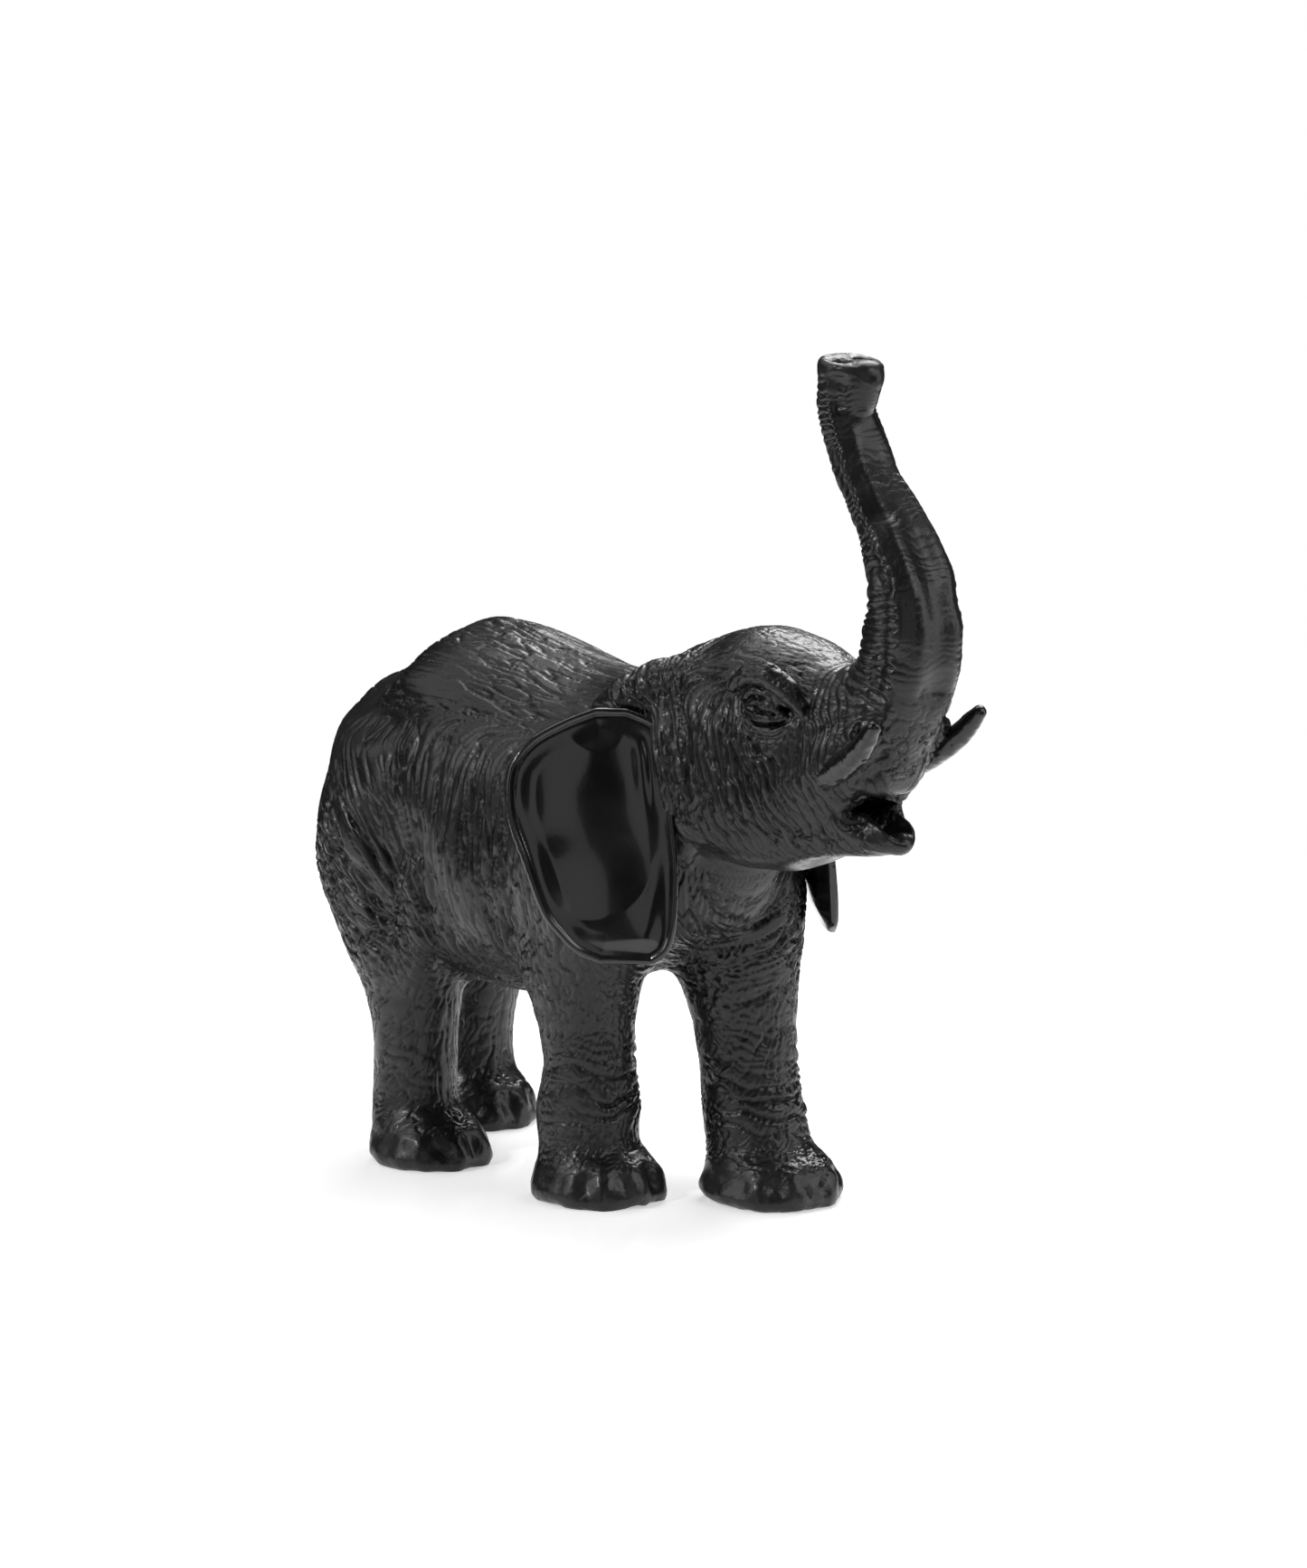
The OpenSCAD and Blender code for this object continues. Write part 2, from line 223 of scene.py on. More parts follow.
class Rod:
    """A round rod through points, with a radius at each: [(x, y, z, r), ...]."""

    def __init__(self, *pts):
        self.p = np.array(pts, float)

    def reach(self, k):
        r = self.p[:, 3:4] + k
        return (self.p[:, :3] - r).min(0), (self.p[:, :3] + r).max(0)

    def d(self, x, y, z):
        best = None
        for a, b in zip(self.p[:-1], self.p[1:]):
            ab = b[:3] - a[:3]
            t = ((x - a[0]) * ab[0] + (y - a[1]) * ab[1] + (z - a[2]) * ab[2]) / max(ab @ ab, 1e-9)
            t = np.clip(t, 0, 1)
            dd = np.sqrt((x - a[0] - t * ab[0]) ** 2 + (y - a[1] - t * ab[1]) ** 2
                         + (z - a[2] - t * ab[2]) ** 2) - (a[3] + t * (b[3] - a[3]))
            best = dd if best is None else np.minimum(best, dd)
        return best.astype(np.float32)


def flip(shape):
    """The same shape on the animal's other side."""
    if isinstance(shape, Rod):
        return Rod(*(shape.p * [1, -1, 1, 1]))
    other = Ball(shape.c * [1, -1, 1], shape.r)
    other.m = np.diag([1, -1, 1]) @ shape.m
    return other


# ---- Noise along a direction -------------------------------------------------------------

LATTICE_N = 64
LATTICE = np.random.default_rng(11).standard_normal((LATTICE_N,) * 3).astype(np.float32)


def noise(p, cell, seed=0):
    """Smooth random field with one value per cell, about 1 in size."""
    q = p / cell + seed * 17.31
    i = np.floor(q).astype(np.int64)
    t = (q - i).astype(np.float32)
    t = t * t * (3 - 2 * t)
    out = 0
    for dx in (0, 1):
        wx = t[:, 0] if dx else 1 - t[:, 0]
        for dy in (0, 1):
            wy = t[:, 1] if dy else 1 - t[:, 1]
            for dz in (0, 1):
                wz = t[:, 2] if dz else 1 - t[:, 2]
                at = tuple((i[:, k] + d) & (LATTICE_N - 1) for k, d in enumerate((dx, dy, dz)))
                out = out + wx * wy * wz * LATTICE[at]
    return out * 1.7


def streaks(p, t, cell, length, seed=0):
    """Noise drawn out along t, a direction per point or a flow to follow."""
    flow = t if callable(t) else lambda q: t
    pace = 0.8 * cell
    n = max(3, int(length / pace))
    total, power = noise(p, cell, seed), 1.0
    for way in (1, -1):
        q = p
        for k in range(1, n + 1):
            q = q + way * pace * flow(q)
            w = math.cos(k / (n + 1) * math.pi / 2)
            total = total + w * noise(q, cell, seed)
            power += w * w
    return total / math.sqrt(power)


def groove(f, width):
    """1 where f is 0, falling to 0 on both sides."""
    return np.exp(-((f / width) ** 2))


def ramp(v, a, b):
    """0 at a, 1 at b, smooth between; a may be above b."""
    t = np.clip((v - a) / (b - a), 0, 1)
    return t * t * (3 - 2 * t)


def near(p, c, r, soft=0.5):
    """1 inside an ellipsoid, 0 well outside."""
    q = (p - np.array(c, float)) / np.array(r, float)
    return 1 - ramp(np.sqrt((q * q).sum(1)), 1 - soft, 1 + soft)


# ---- The whole animal's form ----------------------------------------------------------------

def level(names, block, band=10):
    """Signed distance of the union of some CAD nodes, on a block's voxels."""
    out = None
    for name in names:
        co, tri = cad_mesh(name)
        g = openvdb.FloatGrid.createLevelSetFromPolygons(
            co, triangles=tri, transform=openvdb.createLinearTransform(voxelSize=block.h),
            halfWidth=band)
        a = np.empty(tuple(block.n), np.float32)
        g.copyToArray(a, ijk=tuple(int(i) for i in block.i0))
        out = a if out is None else np.minimum(out, a)
    return out


# Each foot: its middle, its radius, and the directions of its toes in degrees.
FEET = {
    "front_left_leg": ((30, 20), 21.5, (-55, -20, 20, 57)),
    "front_right_leg": ((-7, -19), 20.5, (-66, -34, -2, 33, 66)),
    "hind_left_leg": ((-117, 25), 18.5, (-48, -12, 25, 60)),
    "hind_right_leg": ((-81, -25), 18.5, (-48, -11, 26, 62)),
}

# Edges are rounded all over, and the barrel of the body more than the rest.
EDGE_BLUR, BODY_BLUR = 1.3, 4.6
whole = Block((-148, -58, -8), (138, 58, 278), VOXEL["whole"])
whole.f = level(["torso", "head", "trunk"] + list(FEET), whole)
soft = blur(whole.f, EDGE_BLUR, whole.h)
broad = blur(whole.f, BODY_BLUR, whole.h)
body_zone = ((1 - ramp(whole.ax[0][:, None, None], 24, 44))
             * ramp(whole.ax[2][None, None, :], 40, 56)).astype(np.float32)
whole.f = smin(soft, broad * body_zone + soft * (1 - body_zone) + (1 - body_zone) * 1.5, 1.5) + 0.05
del soft, broad


def hands(b, side):
    """Adds and carves shapes that are given for the right side, on the right (1) or left (-1)."""
    def put(shape, k):
        b.add(shape if side == 1 else flip(shape), k)

    def dig(shape, k):
        b.carve(shape if side == 1 else flip(shape), k)
    return put, dig


def sculpt_body(b):
    for side in (1, -1):
        put, dig = hands(b, side)
        put(Ball((-109, -24, 130), (11, 8, 7), -35, 0), 10)           # hip bone
        dig(Ball((-114, -32, 171), (26, 26, 26)), 6)                  # slope above the hip
        dig(Ball((-118.6, -31, 160.6), (20, 20, 20)), 5)
        put(Ball((-96, -31, 108), (20, 13, 26), -10, -12), 12)        # thigh
        put(Ball((0, -30, 112), (20, 12, 26), 10, 8), 12)             # shoulder
        dig(Ball((-96, -42, 146), (22, 8, 8), -8, 0), 10)             # hollow above the hip
        dig(Ball((-66, -52, 92), (12, 7, 26), 0, 14), 12)             # flank in front of the thigh
        dig(Ball((-28, -50, 112), (10, 7, 30), 0, -6), 10)            # flank behind the shoulder
        put(Rod((-78, -33, 62, 3), (-70, -36, 76, 5), (-66, -40, 96, 3)), 8)   # skin fold, thigh to belly
    b.add(Rod((-100, 0, 155, 3), (-76, 0, 164.6, 3.6), (-44, 0, 161.4, 3.2),
              (-14, 0, 157.5, 3)), 7)                                  # spine
    for side in (1, -1):
        b.carve(Ball((-112, 12 * side, 165), (22, 26, 9), 0, 22), 10)      # slope behind the hump
    b.add(Ball((-42, 0, 57), (6, 4, 4)), 5)                         # navel


# Upper lid, slit, lower lid and the bag below, each with its fillet
LIDS = (
    (((67.4, -24.2, 166.6, 1), (71, -24.6, 169, 1.3), (76.5, -24, 168.6, 1.2),
      (81.6, -21.2, 165.6, 1)), 0.8),
    (((68.2, -24.4, 164.2, 0.8), (72, -25, 165.4, 0.7), (77, -24.2, 164.6, 0.8),
      (81, -21.6, 162.6, 0.8)), 0.7),
    (((68.4, -24.2, 162, 0.9), (72.5, -24.9, 160.9, 1.2), (77.5, -24, 160.9, 1.1),
      (82, -21, 161.4, 0.8)), 0.8),
    (((68.6, -24.6, 159.4, 0.9), (73.5, -25, 157.3, 1.1), (79, -23.8, 157.3, 1),
      (84.4, -20.6, 159, 0.8)), 1.2))


def sculpt_head(b):
    for side in (1, -1):
        put, dig = hands(b, side)
        put(Rod((44, -15, 131, 14), (64, -14, 134, 12), (80, -11, 136, 9),
                (92, -9, 138, 6)), 7)                                 # cheek
        dig(Ball((60, -30, 170), (14, 5, 9), -6, 8), 7)               # temple
        dig(Ball((88, -20, 172), (9, 5, 7), -28, -30), 6)             # in front of the eye
        dig(Ball((74.2, -26.2, 165), (9.4, 6.6, 7.4), -16, 6), 3)      # eye socket
        put(Rod((63, -25.5, 169.5, 2), (69, -24.8, 173.6, 3), (76, -23, 174, 3.7),
                (82, -20.6, 169.6, 3.6), (86, -19, 165, 2.2)), 2.5)   # brow
        put(Ball((74.8, -21, 165), (5.4, 3.5, 4), -16, 6), 1.5)        # eyeball
        for lid, k in LIDS:
            put(Rod(*lid), k)
        put(Rod((84, -13, 142, 8), (93, -14.5, 147, 7.5), (101, -15, 152, 6.6),
                (108, -15.4, 158, 4.6)), 5)                           # tusk sheath
        put(Rod((90, -16.5, 149.8, 2.2), (97, -18.2, 153.4, 2), (104, -19.4, 157, 1.4)), 1.6)
        put(Rod((90, -12.5, 136.5, 3), (94.5, -11.6, 137.4, 2.6), (98, -11.4, 141, 3),
                (103, -11.5, 144, 2.6)), 4)                           # upper lip
        put(Rod((6, -28, 150, 3.6), (11, -30, 156, 5), (18, -28.5, 160.5, 6.2), (26, -22, 164.4, 7.6),
                (38, -14, 166, 8)), 6)                                # fold over the top of the ear
        put(Rod((37, -20, 118, 2), (40, -25, 126, 4), (40, -27, 138, 5), (36, -26, 150, 5),
                (30, -23, 158, 4)), 4)                                # jaw's rear edge
        dig(Rod((33, -31, 128, 1.6), (33.5, -33, 138, 2.4), (31, -33.5, 148, 2.2),
                (27, -33, 154, 1.4)), 2)                              # pocket between it and the ear
    b.add(Ball((57, 0, 172), (20, 16, 9), 0, 2), 8)                   # forehead
    b.add(Rod((98, -9, 147, 5), (98, 9, 147, 5)), 4)                  # palate
    b.add(Rod((108, -5, 149, 4.4), (108, 5, 149, 4.4)), 4)
    b.add(Rod((105, -5, 143.4, 4.6), (105, 5, 143.4, 4.6)), 4)
    b.carve(Ball((91, 0, 104.6), (22, 30, 13)), 6)                    # hollow under the jaw
    b.carve(Ball((124, 0, 127), (10, 14, 8)), 3)                      # end of the lower lip
    b.carve(Rod((89, 0, 135, 2.2), (96, 0, 133.4, 3.6), (104, 0, 131.4, 4.8),
                (120, 0, 130, 7)), 2)                                 # mouth
    b.carve(Ball((93, 0, 134.4), (6, 12.5, 2)), 1.5)
    for side in (-1, 1):
        b.add(Rod((93.5, 11 * side, 131.6, 2.6), (98, 9.4 * side, 127.6, 2.4),
                  (102.5, 7.4 * side, 125.4, 2.2), (107, 4.2 * side, 124.4, 2.4),
                  (109.4, 0, 124.6, 2.8)), 2)                         # rim of the lower lip


# The trunk's middle line, as x and z
TRUNK_LINE = np.array([(108, 160), (113, 178), (115, 192), (113.5, 203), (108.5, 213), (102, 223.5),
                       (95, 233), (89, 243), (85.5, 253), (85.5, 261), (86.5, 268)], float)


def trunk_x(z):
    return np.interp(z, TRUNK_LINE[:, 1], TRUNK_LINE[:, 0])


def sculpt_trunk(b):
    """Edge ridges, the hollows behind them, the flat front band, the flared tip and its nostrils."""
    heights = np.arange(160, 263, 3.0)
    width = np.interp(heights, [166, 190, 211, 221, 232, 242, 262], [14, 13, 12, 10.8, 9.6, 8.6, 9])
    centre = trunk_x(heights)
    fade = np.minimum(ramp(heights, 160, 178), ramp(heights, 263, 246))
    low = ramp(heights, 228, 198)
    for side in (1, -1):
        b.add(Rod(*[(c + (0.2 + 0.26 * v) * w, (0.93 - 0.1 * v) * w * side, h, 0.3 + 1.4 * f)
                    for c, w, h, f, v in zip(centre, width, heights, fade, low)]), 2.6)
        b.carve(Rod(*[(c + (0.26 * v - 0.14) * w, (1.22 - 0.1 * f) * w * side, h, 0.3 + 1.2 * f)
                      for c, w, h, f, v in zip(centre, width, heights, fade, low)]), 2.6)
    b.carve(Rod(*[(c + (1.6 - 0.16 * f) * w, 0, h, 0.5 * w)
                  for c, w, h, f in zip(centre, width, heights, fade)]), 7)
    b.add(Rod((91.5, 0, 257, 4.5), (94.5, 0, 262.6, 4.4)), 5)
    for side in (1, -1):
        b.carve(Rod((88, 3.8 * side, 262, 1.5), (88, 4 * side, 270, 2.1)), 1.5)
        b.carve(Rod((89.5, 8.8 * side, 256, 1.6), (90.5, 9 * side, 261, 1.6)), 4)


def sculpt_foot(b, name):
    (cx, cy), r, toes = FEET[name]
    mirror = 1 if cy < 0 else -1
    for i, angle in enumerate(toes):
        a = math.radians(angle * mirror if name.startswith("hind") else angle)
        big = 1.12 if abs(angle) < 40 else 0.92
        ux, uy = math.cos(a), math.sin(a)
        w = r - 5.2
        b.add(Ball((cx + w * ux, cy + w * uy, 4.2), (5.9 * big, 4.9 * big, 6.6 * big), math.degrees(a)), 1.6)
    b.add(Ball((cx + 1, cy, 10), (r - 3.5, r - 4, 7)), 4)


# ---- Meshes ------------------------------------------------------------------------------

def vertex_normals(p, q):
    """Unit normal at each point of a mesh of quads."""
    a, b, c, d = (p[q[:, k]] for k in range(4))
    fn = np.cross(c - a, d - b)
    n = np.zeros_like(p)
    for k in range(4):
        for j in range(3):
            n[:, j] += np.bincount(q[:, k], fn[:, j], len(p))
    return n / np.maximum(np.linalg.norm(n, axis=1, keepdims=True), 1e-12)


def relax(p, q, rounds, step=0.5):
    """Evens the surface out without shrinking it."""
    e = np.concatenate([q[:, [k, (k + 1) % 4]] for k in range(4)])
    deg = np.bincount(e[:, 0], minlength=len(p))[:, None]
    for _ in range(rounds):
        for s in (step, -step * 1.03):
            total = np.stack([np.bincount(e[:, 0], p[e[:, 1], j], len(p)) for j in range(3)], 1)
            p = p + s * (total / np.maximum(deg, 1) - p)
    return p


def make_object(name, p, q, material, attrs):
    """A Blender object from points in carving coordinates, with values at each point."""
    me = bpy.data.meshes.new(name)
    me.vertices.add(len(p))
    me.vertices.foreach_set("co", ((p + SHIFT) / MM).astype(np.float32).ravel())
    me.loops.add(q.size)
    me.loops.foreach_set("vertex_index", q.astype(np.int32).ravel())
    me.polygons.add(len(q))
    me.polygons.foreach_set("loop_start", np.arange(0, q.size, q.shape[1], dtype=np.int32))
    me.polygons.foreach_set("loop_total", np.full(len(q), q.shape[1], np.int32))
    me.update(calc_edges=True)
    for key, val in attrs.items():
        at = me.attributes.new(key, "FLOAT", "POINT")
        at.data.foreach_set("value", val.astype(np.float32))
    me.validate()
    me.polygons.foreach_set("use_smooth", np.ones(len(me.polygons), bool))
    ob = bpy.data.objects.new(name, me)
    bpy.context.scene.collection.objects.link(ob)
    me.materials.append(material)
    return ob


def split(ob, name, planes, material):
    """A closed piece of ob: the side of each plane (point, normal) that its normal leaves."""
    bm = bmesh.new()
    bm.from_mesh(ob.data)
    for at, n in planes:
        at = (np.array(at) + SHIFT) / MM
        bmesh.ops.bisect_plane(
            bm, geom=bm.verts[:] + bm.edges[:] + bm.faces[:], dist=1e-8,
            plane_co=Vector(at), plane_no=Vector(n), clear_outer=True)
    rim = [e for e in bm.edges if e.is_boundary]
    for e in rim:
        e.smooth = False
    if rim:
        bmesh.ops.holes_fill(bm, edges=rim, sides=0)
    me = bpy.data.meshes.new(name)
    bm.to_mesh(me)
    bm.free()
    me.materials.clear()
    me.materials.append(material)
    me.polygons.foreach_set("use_smooth", np.ones(len(me.polygons), bool))
    new = bpy.data.objects.new(name, me)
    bpy.context.scene.collection.objects.link(new)
    return new


# ---- Wrinkles ------------------------------------------------------------------------------

def unit(v):
    return v / np.maximum(np.linalg.norm(v, axis=1, keepdims=True), 1e-9)


def along(p, *v):
    """One direction for every point, mirrored on the left side."""
    t = np.tile(np.array(v, float), (len(p), 1))
    t[:, 1] *= np.where(p[:, 1] > 0, -1, 1)
    return unit(t)


def folds(p, t, cell, length, seed=0, warp=0.5):
    """Rounded folds that run along t with narrow creases between them: 0 in a crease, 1 on a fold."""
    q = p + warp * cell * np.stack([noise(p, cell * 3.1, seed + k) for k in (5, 6, 7)], 1)
    w = np.abs(streaks(q, t, cell, length, seed))
    return np.minimum(w / 0.9, 1) ** 0.55


def rings(s, p, gap, seed, wobble=0.45):
    """Folds that run round a limb, a gap apart along s: 0 in a crease, 1 on a fold."""
    loose = (wobble * noise(p * [0.55, 0.55, 1], gap * 2.6, seed)
             + 0.35 * wobble * noise(p, gap * 1.1, seed + 1))
    return np.abs(np.sin(math.pi * (s / gap + loose))) ** 0.6


def barrel_flow(p, centre_z, lean):
    """A direction that leans by so many degrees from +X towards the way up round a barrel."""
    x, y, z = p.T
    out, up = np.abs(y) + 0.01, z - centre_z
    r = np.hypot(out, up)
    a = np.radians(lean(x, z, np.degrees(np.arctan2(up, out))))
    c, s = np.cos(a), np.sin(a)
    return np.stack([c, -np.sign(y) * s * up / r, s * out / r], 1)


BODY_AXIS_Z, HEAD_AXIS_Z = 112, 146      # heights that the folds of body and head run round


def body_lean(x, z, height):
    """Upright folds on the flank that lean back behind, and level ones on the back."""
    side = 92 + 34 * ramp(x, -54, -94) * ramp(z, 152, 132) - 24 * ramp(x, -24, 12)
    top = ramp(height, 26, 52)
    return side * (1 - top) - 4 * top


def body_flow(p):
    return barrel_flow(p, BODY_AXIS_Z, body_lean)


def wrinkle_body(p, n):
    x, y, z = p.T
    height = np.degrees(np.arctan2(z - BODY_AXIS_Z, np.abs(y) + 0.01))
    top = ramp(height, 34, 55)
    hip = near(p * [1, 0, 1], (-86, 0, 98), (28, 1, 42))
    rump = ramp(x, -106, -122)
    coarse = folds(p, body_flow, 2.2, 44, 1, 0.12)
    fine = folds(p, body_flow, 1.4, 22, 2, 0.12)
    ridges = folds(p, body_flow, 5.2, 60, 6, 0.2)
    cross = folds(p, unit(np.cross(n, body_flow(p))), 2.3, 8, 3, 0.4)
    smooth_hip = near(p * [1, 0, 1], (-106, 0, 137), (20, 1, 9))
    calm = 1 - 0.7 * smooth_hip
    patch = 0.7 + 0.3 * np.tanh(noise(p, 17, 9))
    low = ramp(z, 62, 50)
    amount = calm * patch * (1 - 0.4 * low) * (1 + 0.6 * ramp(z, 125, 95))
    h = (1.15 * (coarse - 0.7) + 0.45 * (fine - 0.7)) * amount
    h += (0.9 + 0.7 * hip) * (ridges - 0.7) * (1 - 0.75 * top) * amount
    h += 0.55 * (cross - 0.75) * rump * amount
    return h, 1 - np.clip(amount, 0, 1) ** 2 * (1 - np.minimum(coarse, 0.35 + 0.65 * fine))


def head_lean(x, z, height):
    neck = ramp(x, 46, 32) * ramp(z, 134, 150)
    top = ramp(height, 30, 52) * (1 - neck)
    side = 101 + 22 * neck
    return side * (1 - top) + 6 * top


SOCKET = np.array([74.5, -23, 165])


def head_flow(p):
    """The head's folds, which turn round the eye socket."""
    t = barrel_flow(p, HEAD_AXIS_Z, head_lean)
    ex, ez = p[:, 0] - SOCKET[0], p[:, 2] - SOCKET[2]
    far = np.hypot(ex, ez * 1.15) + 0.01
    turn = np.stack([-ez / far, 0 * ex, ex / far], 1)
    turn *= np.where((turn * t).sum(1) < 0, -1, 1)[:, None]
    w = (ramp(far, 18, 10) * ramp(np.abs(p[:, 1]), 12, 18))[:, None]
    return unit(t * (1 - w) + turn * w)


def wrinkle_head(p, n):
    x, z = p[:, 0], p[:, 2]
    brow = ramp(z, 170, 178)
    neck = ramp(x, 46, 32) * ramp(z, 134, 150)
    coarse = folds(p, head_flow, 2.3, 26, 21, 0.15)
    fine = folds(p, head_flow, 1.3, 12, 22, 0.2)
    deep = folds(p, head_flow, 3.4, 34, 27, 0.2)
    cracks = folds(p, unit(np.cross(n, head_flow(p))), 3.4, 6, 23)
    right = p * [1, 0, 1] - np.abs(p) * [0, 1, 0]
    away = np.sqrt(((right - SOCKET) * [1, 0.7, 1.15]) ** 2 @ np.ones(3))
    lids = ramp(away, 6, 9) * ramp(away, 17, 11) * ramp(z, 168, 160)
    inside = ramp(away, 11, 7)
    smooth_jaw = ramp(z, 124, 114) + ramp(x, 100, 106) * ramp(z, 150, 140)
    calm = 1 - 0.85 * np.clip(smooth_jaw, 0, 1)
    h = 0.85 * (coarse - 0.7) * (1 - 0.8 * brow) + 0.3 * (fine - 0.7)
    h *= calm * (1 - 0.6 * lids) * (1 - 0.75 * inside)
    h += 0.16 * (cracks - 0.75) * calm * (0.4 + 0.6 * brow)
    fan = ramp(x, 82, 88) * ramp(x, 108, 100) * ramp(z, 150, 158) * ramp(z, 184, 176)
    fans = rings(0.93 * x + 0.3 * z, p, 3.4, 26, 0.25)
    h = h * (1 - 0.6 * fan) + 0.95 * fan * (fans - 0.6)
    cheek = near(p * [1, 0, 1], (62, 0, 140), (26, 1, 20), 0.4)
    slits = rings(x + 0.26 * z, p, 3.6, 28, 0.5)
    h += 1.2 * cheek * (0.8 * slits + 0.7 * deep - 0.92) * (1 - inside) * calm
    h += 1.1 * neck * (deep - 0.7)
    h += inside * 0.5 * (folds(p, along(p, 1, 0, -0.15), 1.5, 3, 25) - 0.7)
    h += 0.22 * lids * np.cos(away * 2 * math.pi / 2.7 + 0.5 * noise(p, 4, 24))
    return h, np.minimum(np.minimum(coarse + 0.5 * brow, 0.4 + 0.6 * fine), 1 - cheek * (1 - slits))


def wrinkle_trunk(p, n):
    x, z = p[:, 0], p[:, 2]
    axis = unit(np.stack([trunk_x(z + 2) - trunk_x(z - 2), 0 * z, 0 * z + 4], 1))
    s = z + (x - trunk_x(z)) * axis[:, 0] * 0.9
    forward = np.stack([axis[:, 2], 0 * z, -axis[:, 0]], 1)
    facing = (n * forward).sum(1)
    back = ramp(facing, 0.6, 0.3)
    tip = ramp(z, 259, 264)
    base = ramp(z, 226, 200)
    fine = rings(s, p, 2.3, 41)
    big = rings(s, p, 3.9, 43, 0.3)
    cracks = folds(p, unit(np.cross(axis, n)), 2.2, 5, 45)
    h = back * (1 - tip) * (0.7 * (fine - 0.65) * (1 - 0.7 * base) + 1.25 * (big - 0.6) * base)
    some = ramp(noise(p, 9, 47), -0.2, 0.8)
    h += (1 - back) * (1 - tip) * (0.12 * (fine - 0.65) + 0.12 * (cracks - 0.7) * some)
    h += 0.35 * (1 - tip) * noise(p, 9, 48)
    h += tip * 0.2 * (cracks - 0.7)
    return h, 1 - (1 - tip) * back * (1 - fine * (1 - base) - big * base)


def wrinkle_leg(p, n):
    x, y, z = p.T
    lean = along(p, 0.62, 0, 0.78)
    t = unit(lean - n * (n * lean).sum(1, keepdims=True))
    fore = ramp(x, -50, -40)
    knee = ramp(z, 20, 27) * ramp(z, 52, 44)
    foot = ramp(z, 15, 9)
    front = ramp(n[:, 0], -0.5, 0.2)
    bulge = rings(z + 0.12 * y, p, 5.4, 61, 0.55)
    fine = rings(z + 0.25 * x, p, 2.2, 63, 0.6)
    slant = folds(p, t, 1.7, 9, 65, 0.3)
    patch = 0.6 + 0.4 * np.tanh(1.5 * noise(p, 11, 67))
    some = 0.25 + 0.75 * ramp(noise(p, 12, 69), -0.7, 0.3)
    bent = knee * front * (0.15 + 0.85 * fore) * some
    h = 1.7 * bent * (bulge - 0.62) + 0.42 * (fine - 0.65) * patch * (0.1 + 0.9 * fore)
    h += 0.85 * (slant - 0.7) * (1 - 0.3 * knee) * (0.6 + 0.4 * patch)
    h = (1 - foot) * h + foot * (0.14 * (slant - 0.7) + 0.25 * noise(p, 5, 68))
    crease = np.minimum(0.4 + 0.6 * slant, 1 - bent * (1 - bulge))
    return h, 1 - (1 - foot) * (1 - crease)


def wrinkle_skin(p, n):
    """Every part of the animal as one skin, so that nothing shows where it is cut apart."""
    leg = ramp(p[:, 2], 84, 48) * ramp(p[:, 0], 60, 50)
    head = ramp((p - NECK_AT) @ NECK_N, -9, 9) * (1 - leg)
    trunk = ramp((p - TRUNK_AT) @ TRUNK_N, -16, 2) * head
    share = ((wrinkle_body, 1 - leg - head), (wrinkle_leg, leg),
             (wrinkle_head, head - trunk), (wrinkle_trunk, trunk))
    h, crease = np.zeros(len(p)), np.zeros(len(p))
    for wrinkle, w in share:
        i = w > 0.001
        if i.any():
            a, b = wrinkle(p[i], n[i])
            h[i] += w[i] * a
            crease[i] += w[i] * b
    return h, crease


def wrinkled(block, wrinkle, smooth=3):
    """A block's surface with its wrinkles, and how open each point of it lies, which the lacquer reads to
    paint shade into creases.
    """
    p, q = block.mesh()
    p = relax(p, q, smooth)
    n = vertex_normals(p, q)
    h, crease = wrinkle(p, n)
    return p + n * h[:, None], q, {"crease": crease}


# ---- Materials -----------------------------------------------------------------------------

def material(name, build):
    """A material whose shader is set up by build."""
    m = bpy.data.materials.new(name)
    m.use_nodes = True
    nt = m.node_tree
    nt.nodes.clear()
    out = nt.nodes.new("ShaderNodeOutputMaterial")
    bsdf = nt.nodes.new("ShaderNodeBsdfPrincipled")
    nt.links.new(bsdf.outputs[0], out.inputs[0])
    build(nt, bsdf)
    return m


def texture(nt, kind, scale, detail=4, stretch=None):
    coord = nt.nodes.new("ShaderNodeTexCoord")
    place = nt.nodes.new("ShaderNodeMapping")
    place.inputs["Scale"].default_value = stretch or (1, 1, 1)
    tex = nt.nodes.new(kind)
    tex.inputs["Scale"].default_value = scale
    if "Detail" in tex.inputs:
        tex.inputs["Detail"].default_value = detail
    nt.links.new(coord.outputs["Object"], place.inputs["Vector"])
    nt.links.new(place.outputs["Vector"], tex.inputs["Vector"])
    return tex


def fit_range(nt, value, a, b, to_a, to_b):
    r = nt.nodes.new("ShaderNodeMapRange")
    for key, v in (("From Min", a), ("From Max", b), ("To Min", to_a), ("To Max", to_b)):
        r.inputs[key].default_value = v
    nt.links.new(value, r.inputs["Value"])
    return r.outputs["Result"]


def combine(nt, op, a, b):
    m = nt.nodes.new("ShaderNodeMath")
    m.operation = op
    for i, v in enumerate((a, b)):
        if isinstance(v, (int, float)):
            m.inputs[i].default_value = v
        else:
            nt.links.new(v, m.inputs[i])
    return m.outputs[0]


# Both blacks below are painted shade in creases, and also the darkest end of the random tone elsewhere.
SHADE_AND_TONE_BLACK = (0.003, 0.003, 0.0032)      # painted crease shade and the dark end of the random tone, linear colour
SHADE_AND_TONE_GLOSS = (0.003, 0.003, 0.003)
# The first specular level is painted shade: it dims the reflections in creases.
CREASE_SHADE_SPECULAR, OPEN_SPECULAR = 0.07, 0.32
BUMP_DEPTH = 0.0004          # metres


